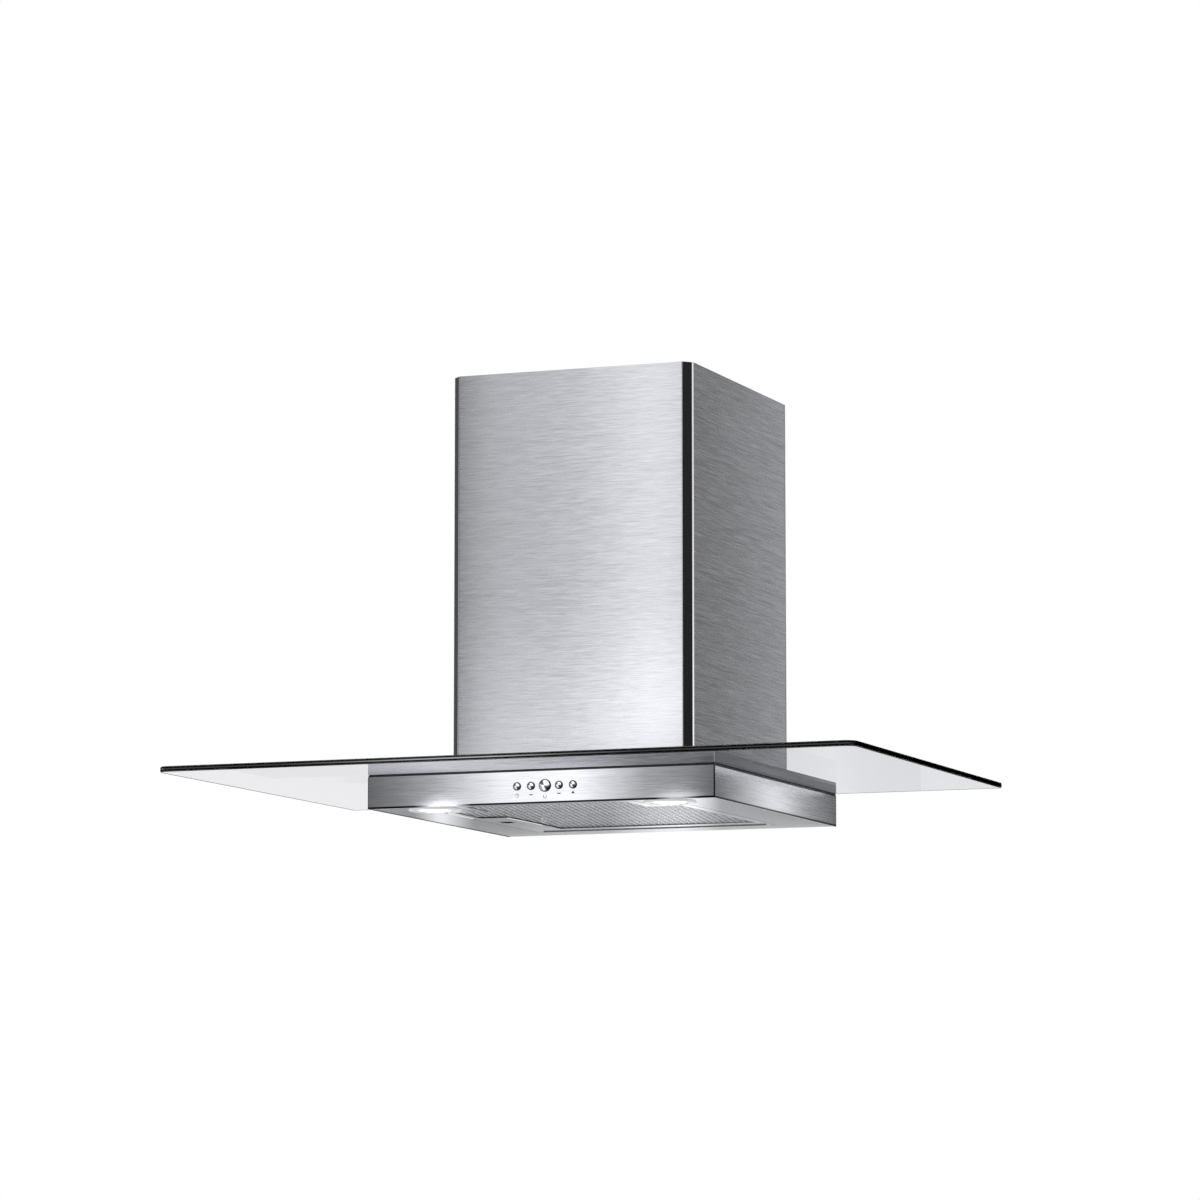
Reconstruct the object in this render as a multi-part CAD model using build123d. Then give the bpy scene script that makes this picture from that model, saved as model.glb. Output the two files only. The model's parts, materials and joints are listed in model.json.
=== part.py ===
from build123d import *
import os
from math import acos, asin, cos, degrees, radians, sin

# A wall mount range hood: a steel body under a flat glass canopy, with a chimney that hides the
# blower. X runs to the right and Z up. The wall is the plane Y = 0 and the hood stands in front
# of it, towards -Y. The origin lies midway between the two hanging holes. Sizes are millimetres.

# Glass canopy
glass_width = 762.0
glass_depth = 500.0
glass_thickness = 6.0
glass_front_radius = 12.0
glass_back_radius = 3.0
glass_wall_gap = 1.0
glass_edge_round = 1.0

# Steel body below the glass
body_width = 385.0
body_depth = 385.0
body_height = 33.5
skin_sheet = 1.2
frame_sheet = 1.5
seam = 0.8
skin_round = 0.5
gasket_thickness = 2.0
gasket_inset = 0.5

# Way up for the air through the frame, the glass and the deck
air_width = 208.0
air_front = 256.0
air_back = 40.0
air_radius = 15.0

# Underside panel
panel_sheet = 1.2
panel_recess = 0.4
rim_height = 3.0

# Steel deck on top of the glass
deck_height = 12.0
deck_sheet = 1.2

# Bolts that clamp the glass between the frame and the deck
bolt_radius = 3.0
bolt_head_radius = 5.5
bolt_head_height = 4.0
bolt_clearance = 0.3
bolt_glass_clearance = 1.0
bolt_end_gap = 1.0
bolt_inset_side = 25.0
bolt_inset_front = 35.0
bolt_inset_back = 55.0
spacer_radius = 9.0

# Grease filter
filter_inset_side = 54.5
filter_depth = 326.0
filter_thickness = 9.0
filter_setback = 12.0
filter_gap = 1.0
filter_notch_width = 38.5
filter_notch_depth = 56.0
filter_sheet = 1.0
filter_border_front = 6.0
filter_border_side = 10.0
filter_border_back = 32.0
filter_border_top = 8.0
filter_tab_width = 30.0
filter_tab_reach = 8.0
filter_tab_inset = 90.0
filter_tab_rise = 0.6
mesh_gap = 0.2

# Filter latch
latch_pad_width = 40.0
latch_pad_setback = 138.0
latch_setback = 194.0
latch_length = 24.5
latch_width = 40.0
latch_sheet = 1.2
latch_clear = 0.3
latch_pocket_height = 5.0
tongue_width = 14.0
tongue_tip_gap = 0.3
finger_slot_inset = 8.0
finger_slot_length = 14.0
finger_slot_width = 20.0
finger_tab = 1.2
latch_spring_sheet = 0.4
latch_spring_width = 10.0

# Push buttons
button_pitch = 15.5
button_group_x = 7.0
button_below_top = 15.0
small_button_radius = 3.2
big_button_radius = 5.5
button_head = 1.3
button_dome = 1.3
button_travel = 1.2
button_rest_gap = 0.3
button_fit = 0.3
bezel_ring = 0.8
bezel_neck = 0.5
bezel_proud = 0.8
stem_radius = 2.0
stem_fit = 0.06
stem_collar = 1.0
stem_collar_height = 0.8
stem_end_spare = 0.3

# Switch housing behind the fascia
housing_wall = 2.0
housing_margin = 12.0
housing_height = 15.0
housing_depth = 23.0
housing_fit = 0.5
board_thickness = 1.6
board_behind_stem = 3.0
switch_size = 6.0

# Lamps
lamp_inset_side = 61.5
lamp_setback = 35.0
lamp_flange_radius = 28.0
lamp_flange_height = 1.5
lamp_mouth_radius = 19.0
lamp_neck_radius = 23.5
lamp_neck_wall = 1.5
lamp_neck_rise = 3.0
lamp_fit = 0.1
lens_height = 1.5
lens_dome = 2.2
lamp_can_height = 11.0
lamp_fin_height = 1.5
lamp_fin_depth = 3.0
lamp_fin_count = 3

# Chimney
chimney_width = 272.0
chimney_depth = 300.0
chimney_height = 414.0
chimney_sheet = 1.2
chimney_edge_round = 0.7
corner_chamfer = 9.5
trim_sheet = 1.2
trim_leg = 10.0
chimney_foot = 10.0
chimney_foot_inset = 15.0
chimney_back_flange = 7.0

# Upper chimney, pushed down inside the lower one
upper_gap = 1.3
upper_sheet = 0.8
upper_height = 404.0
upper_back_gap = 4.0
upper_flange = 10.0
upper_rest_gap = 0.3

# Wall bracket of the upper chimney
bracket_sheet = 1.5
bracket_height = 25.0
bracket_drop = 4.0
bracket_end_gap = 2.0
bracket_step_x = 95.0
bracket_step_run = 5.0
bracket_hole_x = 60.0
bracket_hole_radius = 3.5
bracket_screw_radius = 2.0
bracket_screw_head_radius = 3.8
bracket_screw_head_height = 2.0
bracket_screw_fit = 0.1

# Wall plate and blower box
wall_plate_sheet = 2.0
wall_plate_width = 236.0
wall_plate_margin = 20.0
hanging_hole_x = 100.0
hanging_hole_radius = 4.0
hanging_above_box = 25.0
safety_hole_inset = 42.5
safety_hole_radius = 3.5
box_width = 220.0
box_depth = 260.0
box_height = 250.0
box_sheet = 1.0
box_flange = 10.0
box_radius = 3.0

# Blower: a four centre scroll round a drum impeller, on an axis that runs front to back
fan_x = -10.0
fan_above_scroll = 5.0
scroll_small_radius = 66.0
scroll_step = 10.0
scroll_wall = 1.5
scroll_width = 110.0
scroll_rear = 80.0
tongue_angle = 50.0
outlet_rise = 75.0
impeller_radius = 60.0
impeller_plate = 2.0
impeller_plate_at = 14.0
impeller_hub_radius = 11.0
impeller_hub_front = 34.0
impeller_hub_rear = 10.0
blade_count = 32
blade_depth = 11.0
blade_sheet = 1.2
blade_lean = 7.0
blade_front = 98.0
impeller_ring = 2.5
inlet_radius = 46.0
inlet_wall = 1.5
inlet_fit = 0.5
inlet_reach = 8.0
inlet_flange = 18.0
inlet_sheet = 2.0
motor_hole_radius = 46.0
motor_flange_radius = 58.0
motor_flange_sheet = 2.0
motor_mount_sheet = 3.0
motor_radius = 42.0
motor_length = 55.0
motor_round = 6.0
motor_nose_radius = 20.0
motor_nose_front = 8.0
shaft_radius = 4.0
shaft_fit = 0.05
shaft_rear = 38.0
shaft_end_gap = 2.0
capacitor_radius = 16.0
capacitor_length = 55.0
capacitor_x = -88.0
capacitor_above_deck = 60.0

# Outlet with its non return damper
duct_radius = 75.0
duct_wall = 2.0
duct_y = 135.0
spigot_height = 40.0
collar_flange = 170.0
collar_flange_sheet = 2.0
collar_flange_radius = 8.0
outlet_wall = 1.5
outlet_corner = 8.0
outlet_top_flat = 0.2
ledge_width = 4.0
flap_above_flange = 12.0
flap_sheet = 1.5
flap_gap = 1.0
flap_seat_gap = 0.2
flap_axis_gap = 3.4
pin_radius = 1.5
pin_fit = 0.1
knuckle_wall = 1.3
knuckle_length = 18.0
knuckle_gap = 1.0
knuckle_offset = 20.0

# Electrical pieces
terminal_length = 50.0
terminal_depth = 38.0
terminal_height = 32.0
terminal_x = -80.0
terminal_y = 235.0
terminal_round = 3.0
gland_radius = 9.0
gland_height = 10.0
gland_bore = 4.0
gland_neck_radius = 6.0
gland_fit = 0.1
driver_length = 80.0
driver_width = 36.0
driver_height = 20.0
driver_inset_side = 26.0
driver_y = 155.0
driver_round = 2.0

# How far a cutter runs past the face it opens
past = 1.0

# Levels, worked out from the hanging holes down
box_top = -hanging_above_box
deck_top = box_top - box_height
glass_top = deck_top - deck_height
glass_bottom = glass_top - glass_thickness
body_top = glass_bottom - gasket_thickness
body_bottom = body_top - body_height
panel_bottom = body_bottom + panel_recess
panel_top = panel_bottom + panel_sheet
rim_top = panel_top + rim_height
chimney_top = deck_top + chimney_height
flap_level = box_top + collar_flange_sheet + flap_above_flange

# Places in plan
body_half = body_width / 2
body_front = -body_depth
frame_half = body_half - skin_sheet
frame_front = body_front + skin_sheet
chimney_half = chimney_width / 2
chimney_front = -chimney_depth
filter_half = body_half - filter_inset_side
filter_front = body_front + filter_setback
filter_back = filter_front + filter_depth
filter_top = panel_bottom + filter_thickness
box_half = box_width / 2
box_back = -wall_plate_sheet
box_front = box_back - box_depth
button_level = body_top - button_below_top
lamp_x = body_half - lamp_inset_side
driver_x = body_half - driver_inset_side
safety_hole_x = body_half - safety_hole_inset


def block(x0, x1, y0, y1, z0, z1):
    """A box between its lowest and highest corners."""
    middle = Pos((x0 + x1) / 2, (y0 + y1) / 2, (z0 + z1) / 2)
    return middle * Box(x1 - x0, y1 - y0, z1 - z0)


def plan(x0, x1, y0, y1, radius=0.0):
    """A rectangle in plan, with its corners rounded if asked."""
    middle = Pos((x0 + x1) / 2, (y0 + y1) / 2)
    if radius:
        return middle * RectangleRounded(x1 - x0, y1 - y0, radius)
    return middle * Rectangle(x1 - x0, y1 - y0)


def upright(outline, z0, z1):
    """A plan outline raised from one level to another."""
    return extrude(Pos(0, 0, z0) * outline, z1 - z0)


def rod(x, y, z0, z1, radius):
    """An upright round bar."""
    return Pos(x, y, (z0 + z1) / 2) * Cylinder(radius, z1 - z0)


def level_rod(x, z, y0, y1, radius):
    """A round bar that runs front to back."""
    return Pos(x, (y0 + y1) / 2, z) * Rot(90, 0, 0) * Cylinder(radius, y1 - y0)


def cross_rod(y, z, x0, x1, radius):
    """A round bar that runs left to right."""
    return Pos((x0 + x1) / 2, y, z) * Rot(0, 90, 0) * Cylinder(radius, x1 - x0)


def face_of(points):
    """A flat face inside a closed outline of straight runs."""
    return make_face(Polyline(*points, close=True))


def turned(points):
    """A solid of revolution about Z, from points of radius and height."""
    return revolve(Plane.XZ * face_of(points), Axis.Z)


def group(pieces):
    """Several separate solids that share one node."""
    return Compound([solid for piece in pieces for solid in piece.solids()])


def mirrored(piece):
    """The piece on the other side of the middle plane."""
    return mirror(piece, Plane.YZ)


def air_opening(z0, z1):
    """The cutter for the way that the air takes up through a layer."""
    return upright(plan(-air_width / 2, air_width / 2, -air_front, -air_back, air_radius), z0, z1)


def bolt_places():
    """Where the four glass bolts stand in plan."""
    x = body_half - bolt_inset_side
    rows = (body_front + bolt_inset_front, -bolt_inset_back)
    return [(side * x, y) for side in (-1, 1) for y in rows]


def bolt_holes(z0, z1, radius):
    """The cutters for the four glass bolts."""
    return [rod(x, y, z0, z1, radius) for x, y in bolt_places()]


# The steel body below the glass


def button_places():
    """X and head radius of each button, from left to right, the big one in the middle."""
    radii = [small_button_radius, small_button_radius, big_button_radius]
    radii += [small_button_radius, small_button_radius]
    return [(button_group_x + (i - 2) * button_pitch, radius) for i, radius in enumerate(radii)]


def front_fascia():
    sheet = block(-body_half, body_half, body_front, frame_front, body_bottom, body_top)
    ends = sheet.edges().filter_by(Axis.Z).group_by(Axis.Y)[0]
    foot = sheet.edges().filter_by(Axis.X).group_by(Axis.Y)[0].group_by(Axis.Z)[0]
    sheet = fillet(ends + foot, skin_round)
    for x, radius in button_places():
        neck = radius + button_fit + bezel_neck
        sheet -= level_rod(x, button_level, body_front - past, frame_front + past, neck)
    return sheet


def right_side_panel():
    sheet = block(frame_half, body_half, frame_front + seam, 0, body_bottom, body_top)
    front = sheet.edges().filter_by(Axis.Z).group_by(Axis.X)[-1].group_by(Axis.Y)[0]
    foot = sheet.edges().filter_by(Axis.Y).group_by(Axis.X)[-1].group_by(Axis.Z)[0]
    return fillet(front + foot, skin_round)


def switch_window():
    """Half width, lowest and highest level of the switch housing."""
    half = 2 * button_pitch + housing_margin
    return half, button_level - housing_height / 2, button_level + housing_height / 2


def body_frame():
    inner = frame_half - frame_sheet
    inner_front = frame_front + frame_sheet
    under = body_top - frame_sheet
    frame = upright(plan(-frame_half, frame_half, frame_front, 0), panel_top, body_top)
    frame -= upright(plan(-inner, inner, inner_front, -frame_sheet), panel_top - past, under)
    frame -= air_opening(under - past, body_top + past)
    half, low, high = switch_window()
    x0 = button_group_x - half - housing_fit
    x1 = button_group_x + half + housing_fit
    frame -= block(x0, x1, frame_front - past, inner_front + past, low - housing_fit, high + housing_fit)
    for side in (-1, 1):
        hole_z = (panel_top + body_top) / 2
        frame -= level_rod(side * safety_hole_x, hole_z, -frame_sheet - past, past, safety_hole_radius)
    return frame - bolt_holes(under - past, body_top + past, bolt_radius + bolt_clearance)


def filter_plan(side, front, back):
    """The filter's plan, cut away round the lamps at its front corners, with an inset for each edge."""
    half = filter_half - side
    neck = half - filter_notch_width
    step = filter_front + filter_notch_depth + side
    y0, y1 = filter_front + front, filter_back - back
    right = [(neck, y0), (neck, step), (half, step), (half, y1)]
    left = [(-x, y) for x, y in reversed(right)]
    return face_of(right + left)


def filter_opening(grow=0.0):
    """Plan of the opening that the filter hangs in."""
    gap = filter_gap + grow
    return filter_plan(-gap, -gap, -gap)


def bottom_panel():
    edge = frame_half - seam
    panel = upright(plan(-edge, edge, frame_front + seam, 0), panel_bottom, panel_top)
    panel += upright(filter_opening(panel_sheet), panel_top, rim_top)
    panel -= upright(filter_opening(), panel_bottom - past, rim_top + past)
    for side in (-1, 1):
        hole = lamp_neck_radius + lamp_fit
        y = body_front + lamp_setback
        panel -= rod(side * lamp_x, y, panel_bottom - past, panel_top + past, hole)
    return panel


def glass_gasket():
    half = body_half - gasket_inset
    ring = upright(plan(-half, half, body_front + gasket_inset, 0), body_top, glass_bottom)
    ring -= air_opening(body_top - past, glass_bottom + past)
    return ring - bolt_holes(body_top - past, glass_bottom + past, bolt_radius + bolt_clearance)


def glass_canopy():
    half = glass_width / 2
    sheet = block(-half, half, -glass_depth, -glass_wall_gap, glass_bottom, glass_top)
    corners = sheet.edges().filter_by(Axis.Z).group_by(Axis.Y)
    sheet = fillet(corners[0], glass_front_radius)
    sheet = fillet(sheet.edges().filter_by(Axis.Z).group_by(Axis.Y)[-1], glass_back_radius)
    rims = sheet.faces().filter_by(Axis.Z).edges()
    sheet = chamfer(rims, glass_edge_round)
    sheet -= air_opening(glass_bottom - past, glass_top + past)
    return sheet - bolt_holes(glass_bottom - past, glass_top + past, bolt_radius + bolt_glass_clearance)


def top_deck():
    inner = body_half - deck_sheet
    under = deck_top - deck_sheet
    deck = upright(plan(-body_half, body_half, body_front, 0), glass_top, deck_top)
    edges = deck.edges().filter_by(Axis.Z).group_by(Axis.Y)[0]
    deck = fillet(edges, skin_round)
    deck -= upright(plan(-inner, inner, body_front + deck_sheet, -deck_sheet), glass_top - past, under)
    return deck - air_opening(under - past, deck_top + past)


def deck_spacers():
    spacers = []
    for x, y in bolt_places():
        sleeve = rod(x, y, glass_top, deck_top - deck_sheet, spacer_radius)
        spacers.append(sleeve - rod(x, y, glass_top - past, deck_top, bolt_radius + bolt_clearance))
    return group(spacers)


def glass_bolts():
    seat = body_top - frame_sheet
    tip = deck_top - deck_sheet - bolt_end_gap
    bolts = []
    for x, y in bolt_places():
        head = upright(Pos(x, y) * RegularPolygon(bolt_head_radius, 6), seat - bolt_head_height, seat)
        bolts.append(head + rod(x, y, seat, tip, bolt_radius))
    return group(bolts)


# Buttons and the switch housing


def button_frame(x):
    """A frame on the fascia's face whose Z axis points into the body."""
    return Plane((x, body_front, button_level), x_dir=(1, 0, 0), z_dir=(0, 1, 0)).location


stem_collar_at = skin_sheet + housing_wall + button_rest_gap
stem_end = stem_collar_at + stem_collar_height + board_behind_stem


def button(x, radius):
    head_back = -button_rest_gap
    shoulder = head_back - button_head
    crown = shoulder - button_dome
    collar = stem_radius + stem_collar
    bulge = (radius * sin(radians(45)), shoulder - button_dome * sin(radians(45)))
    outline = [
        ThreePointArc((0, crown), bulge, (radius, shoulder)),
        Polyline(
            (radius, shoulder),
            (radius, head_back),
            (stem_radius, head_back),
            (stem_radius, stem_collar_at),
            (collar, stem_collar_at),
            (collar, stem_collar_at + stem_collar_height),
            (stem_radius, stem_collar_at + stem_collar_height),
            (stem_radius, stem_end),
            (0, stem_end),
            (0, crown),
        ),
    ]
    return button_frame(x) * revolve(Plane.XZ * make_face(outline), Axis.Z)


def button_bezels():
    rings = []
    for x, radius in button_places():
        bore = radius + button_fit
        ring = turned([
            (bore, -bezel_proud),
            (bore + bezel_ring, -bezel_proud),
            (bore + bezel_ring, 0),
            (bore + bezel_neck, 0),
            (bore + bezel_neck, skin_sheet),
            (bore, skin_sheet),
        ])
        rings.append(button_frame(x) * ring)
    return group(rings)


def switch_housing():
    half, low, high = switch_window()
    x0, x1 = button_group_x - half, button_group_x + half
    back = frame_front + housing_depth
    case = block(x0, x1, frame_front, back, low, high)
    inner = frame_front + housing_wall
    wall = housing_wall
    case -= block(x0 + wall, x1 - wall, inner, back + past, low + wall, high - wall)
    for x, _ in button_places():
        case -= level_rod(x, button_level, frame_front - past, inner + past, stem_radius + stem_fit)
    return case


def control_board():
    half, low, high = switch_window()
    wall = housing_wall
    switch_face = body_front + stem_end + button_travel + stem_end_spare
    board_face = switch_face + board_behind_stem
    x0, x1 = button_group_x - half + wall, button_group_x + half - wall
    board = block(x0, x1, board_face, board_face + board_thickness, low + wall, high - wall)
    for x, _ in button_places():
        z0, z1 = button_level - switch_size / 2, button_level + switch_size / 2
        board += block(x - switch_size / 2, x + switch_size / 2, switch_face, board_face, z0, z1)
    return board


# Lamps


def lamp_place(side):
    return Pos(side * lamp_x, body_front + lamp_setback, panel_bottom)


def lamp_bezel(side):
    inner = lamp_neck_radius - lamp_neck_wall
    neck_top = panel_sheet + lamp_neck_rise
    return lamp_place(side) * turned([
        (lamp_mouth_radius, 0),
        (lamp_mouth_radius + lamp_flange_height, -lamp_flange_height),
        (lamp_flange_radius - lamp_flange_height, -lamp_flange_height),
        (lamp_flange_radius, 0),
        (lamp_neck_radius, 0),
        (lamp_neck_radius, neck_top),
        (inner, neck_top),
        (inner, 0),
    ])


def lamp_lens(side):
    """A disc that lies on the bezel's ledge, with a shallow dome down through its mouth."""
    rim = lamp_neck_radius - lamp_neck_wall - lamp_fit
    mouth = lamp_mouth_radius - lamp_fit
    ball = (mouth ** 2 + lens_dome ** 2) / (2 * lens_dome)
    outline = [
        CenterArc((0, ball - lens_dome), ball, -90, degrees(asin(mouth / ball))),
        Polyline((mouth, 0), (rim, 0), (rim, lens_height), (0, lens_height), (0, -lens_dome)),
    ]
    return lamp_place(side) * revolve(Plane.XZ * make_face(outline), Axis.Z)


def lamp_housing(side):
    seat = panel_sheet + lamp_neck_rise
    can = Pos(0, 0, seat + lamp_can_height / 2) * Cylinder(lamp_neck_radius, lamp_can_height)
    ring = Cylinder(lamp_neck_radius + past, lamp_fin_height)
    ring -= Cylinder(lamp_neck_radius - lamp_fin_depth, lamp_fin_height)
    step = lamp_can_height / (lamp_fin_count + 1)
    for i in range(lamp_fin_count):
        can -= Pos(0, 0, seat + (i + 1) * step) * ring
    return lamp_place(side) * can


# Grease filter


def latch_middle():
    """Y of the middle of the latch."""
    return filter_front + latch_setback


def latch_left():
    """X of the latch plate's left end, just inside the filter's wall."""
    return -filter_half + filter_sheet + latch_clear


def latch_pocket():
    """The room inside the filter for the latch and its spring."""
    y = latch_middle()
    half = latch_width / 2 + latch_clear
    left = -filter_half + filter_sheet
    right = -filter_half + latch_pad_width - mesh_gap
    low = panel_bottom + filter_sheet
    return left, right, y - half, y + half, low, low + latch_pocket_height


def filter_frame():
    low, high = panel_bottom, filter_top
    t = filter_sheet
    frame = upright(filter_plan(0, 0, 0), low, high)
    frame -= upright(filter_plan(t, t, t), low + t, high - t)
    window = filter_plan(filter_border_side, filter_border_front, filter_border_back)
    window = upright(window, low - past, low + t)
    pad_right = -filter_half + latch_pad_width
    pad_front = filter_front + latch_pad_setback
    window -= block(-filter_half, pad_right, pad_front, filter_back, low - past, low + t)
    frame -= window
    lip = filter_border_top
    frame -= upright(filter_plan(lip, lip, lip), high - t, high + past)
    slot_left = latch_left() + latch_clear + finger_slot_inset
    slot_half = finger_slot_width / 2
    slot_right = slot_left + finger_slot_length
    y = latch_middle()
    frame -= block(slot_left, slot_right, y - slot_half, y + slot_half, low - past, low + t)
    tongue_half = tongue_width / 2 + latch_clear
    tongue_low = low + t
    tongue_high = tongue_low + 2 * latch_clear + latch_sheet
    tongue_y0, tongue_y1 = y - tongue_half, y + tongue_half
    frame -= block(-filter_half - past, -filter_half + t, tongue_y0, tongue_y1, tongue_low, tongue_high)
    tab_low = rim_top + filter_tab_rise
    for y in (filter_front + filter_tab_inset, filter_back - filter_tab_inset):
        half = filter_tab_width / 2
        reach = filter_half + filter_tab_reach
        frame += block(filter_half, reach, y - half, y + half, tab_low, tab_low + t)
    return frame


def filter_mesh():
    t = filter_sheet
    inset = t + mesh_gap
    pack = upright(filter_plan(inset, inset, inset), panel_bottom + t, filter_top - t)
    x0, x1, p0, p1, low, high = latch_pocket()
    return pack - block(x0 - past, x1, p0, p1, low - past, high)


def filter_latch():
    y = latch_middle()
    left = latch_left()
    low = panel_bottom + filter_sheet + latch_clear
    high = low + latch_sheet
    half = latch_width / 2
    plate = block(left, left + latch_length, y - half, y + half, low, high)
    plate = fillet(plate.edges().filter_by(Axis.Z), latch_sheet)
    tip = -filter_half - filter_gap + tongue_tip_gap
    tongue_half = tongue_width / 2
    plate += block(tip, left + latch_sheet, y - tongue_half, y + tongue_half, low, high)
    tab_left = left + 2 * latch_clear + finger_slot_inset + finger_tab
    tab_half = finger_slot_width / 2 - 2 * latch_clear
    tab_right = tab_left + finger_tab
    return plate + block(tab_left, tab_right, y - tab_half, y + tab_half, panel_bottom, high)


def latch_spring():
    x0 = latch_left() + latch_length
    x1 = latch_pocket()[1]
    y = latch_middle()
    low = panel_bottom + filter_sheet + latch_clear
    run = latch_spring_width
    t = latch_spring_sheet
    leaf = face_of([
        (x0, y - run),
        (x1, y - t),
        (x1, y + t),
        (x0, y + run),
        (x0, y + run - 2 * t),
        (x1 - 2 * t, y),
        (x0, y - run + 2 * t),
    ])
    return upright(leaf, low, low + latch_sheet)


# Chimney


def chimney_front_panel():
    half = chimney_half - corner_chamfer
    back = chimney_front + chimney_sheet
    sheet = upright(plan(-half, half, chimney_front, back), deck_top, chimney_top)
    sheet = fillet(sheet.edges().filter_by(Axis.Z).group_by(Axis.Y)[0], chimney_edge_round)
    foot_half = half - chimney_foot_inset
    foot_top = deck_top + chimney_sheet
    return sheet + block(-foot_half, foot_half, back, back + chimney_foot, deck_top, foot_top)


def chimney_right_panel():
    inner = chimney_half - chimney_sheet
    front = chimney_front + corner_chamfer
    sheet = upright(plan(inner, chimney_half, front, 0), deck_top, chimney_top)
    outer_edge = sheet.edges().filter_by(Axis.Z).group_by(Axis.X)[-1].group_by(Axis.Y)[0]
    sheet = fillet(outer_edge, chimney_edge_round)
    sheet += block(inner - chimney_back_flange, inner, -chimney_sheet, 0, deck_top, chimney_top)
    foot_front = front + chimney_foot_inset
    foot_back = -chimney_foot_inset
    foot_top = deck_top + chimney_sheet
    return sheet + block(inner - chimney_foot, inner, foot_front, foot_back, deck_top, foot_top)


def corner_trim_right():
    """A strip across the corner, with a leg behind each of the two panels."""
    half, front = chimney_half, chimney_front
    t = chimney_sheet
    leg_x = half - t
    leg_y = front + t
    inner_x = leg_x - trim_sheet
    inner_y = leg_y + trim_sheet
    side_y = front + corner_chamfer
    face_x = half - corner_chamfer
    return upright(face_of([
        (face_x, front),
        (half, side_y),
        (leg_x, side_y),
        (leg_x, side_y + trim_leg),
        (inner_x, side_y + trim_leg),
        (inner_x, side_y),
        (face_x, inner_y),
        (face_x - trim_leg, inner_y),
        (face_x - trim_leg, leg_y),
        (face_x, leg_y),
    ]), deck_top, chimney_top)


upper_half = chimney_half - chimney_sheet - trim_sheet - upper_gap
upper_chamfer = corner_chamfer - chimney_sheet - trim_sheet - (2 - 2 ** 0.5) * upper_gap
upper_front = chimney_front + chimney_sheet + trim_sheet + upper_gap
upper_bottom = deck_top + chimney_sheet + upper_rest_gap
upper_top = upper_bottom + upper_height


def upper_outline(inset):
    """Half of the upper chimney's plan from the middle of its front to its back flange."""
    half, front = upper_half - inset, upper_front + inset
    cut = upper_chamfer - inset * (2 - 2 ** 0.5)
    return [(0, front), (half - cut, front), (half, front + cut)]


def upper_chimney():
    """One sheet folded round three sides, with flanges turned in at the back."""
    t = upper_sheet
    back = -upper_back_gap
    flange_end = upper_half - upper_flange
    outer = upper_outline(0) + [(upper_half, back), (flange_end, back)]
    inner = [(flange_end, back - t), (upper_half - t, back - t)] + upper_outline(t)[::-1]
    half_sheet = upright(face_of(outer + inner), upper_bottom, upper_top)
    sheet = half_sheet + mirrored(half_sheet)
    for side in (-1, 1):
        x, z = bracket_screw_place(side)
        sheet -= level_rod(x, z, back - t - past, back + past, bracket_screw_radius + bracket_screw_fit)
    return sheet


def bracket_screw_place(side):
    """X and Z of a screw that joins the bracket to the upper chimney's flange."""
    return side * (upper_half - upper_flange / 2), upper_top - bracket_drop - bracket_height / 2


def upper_bracket():
    """A strip that lies on the wall in the middle and steps forward to the flanges."""
    t = bracket_sheet
    step = upper_back_gap - t
    end = upper_half - bracket_end_gap
    x0, x1 = bracket_step_x, bracket_step_x + bracket_step_run
    wall_side = [(0, 0), (x0, 0), (x1, -step), (end, -step)]
    room_side = [(end, -step - t), (x1, -step - t), (x0, -t), (0, -t)]
    top = upper_top - bracket_drop
    half_strip = upright(face_of(wall_side + room_side), top - bracket_height, top)
    strip = half_strip + mirrored(half_strip)
    for side in (-1, 1):
        x, z = bracket_screw_place(side)
        strip -= level_rod(x, z, -step - t - past, 0, bracket_screw_radius + bracket_screw_fit)
        strip -= level_rod(side * bracket_hole_x, z, -t - past, past, bracket_hole_radius)
    return strip


def bracket_screws():
    seat = -upper_back_gap - upper_sheet
    tip = -upper_back_gap + bracket_sheet
    screws = []
    for side in (-1, 1):
        x, z = bracket_screw_place(side)
        head = level_rod(x, z, seat - bracket_screw_head_height, seat, bracket_screw_head_radius)
        screws.append(head + level_rod(x, z, seat, tip, bracket_screw_radius))
    return group(screws)


# Wall plate, blower box and blower


def wall_plate():
    half = wall_plate_width / 2
    plate = block(-half, half, -wall_plate_sheet, 0, deck_top, wall_plate_margin)
    for side in (-1, 1):
        x = side * hanging_hole_x
        plate -= level_rod(x, 0, -wall_plate_sheet - past, past, hanging_hole_radius)
    return plate


def blower_box():
    t = box_sheet
    box = upright(plan(-box_half, box_half, box_front, box_back), deck_top, box_top)
    box = fillet(box.edges().filter_by(Axis.Z).group_by(Axis.Y)[0], box_radius)
    flange_front = box_front - box_flange
    reach = box_half + box_flange
    box += block(-reach, reach, flange_front, box_back, deck_top, deck_top + t)
    inside = box_half - t
    box -= block(-inside, inside, box_front + t, box_back + past, deck_top - past, box_top - t)
    box -= rod(0, -duct_y, box_top - t - past, box_top + past, duct_radius - duct_wall - ledge_width)
    entry = gland_neck_radius + gland_fit
    return box - rod(terminal_x, -terminal_y, box_top - t - past, box_top + past, entry)


scroll_bottom_radius = scroll_small_radius + 2 * scroll_step
fan_level = deck_top + fan_above_scroll + scroll_wall + scroll_step / 2 + scroll_bottom_radius
fan_frame = Plane((fan_x, -scroll_rear, fan_level), x_dir=(1, 0, 0), z_dir=(0, -1, 0)).location
tongue_x = -scroll_step / 2 + scroll_small_radius * cos(radians(tongue_angle))
scroll_right = scroll_step / 2 + scroll_small_radius + 3 * scroll_step


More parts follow.
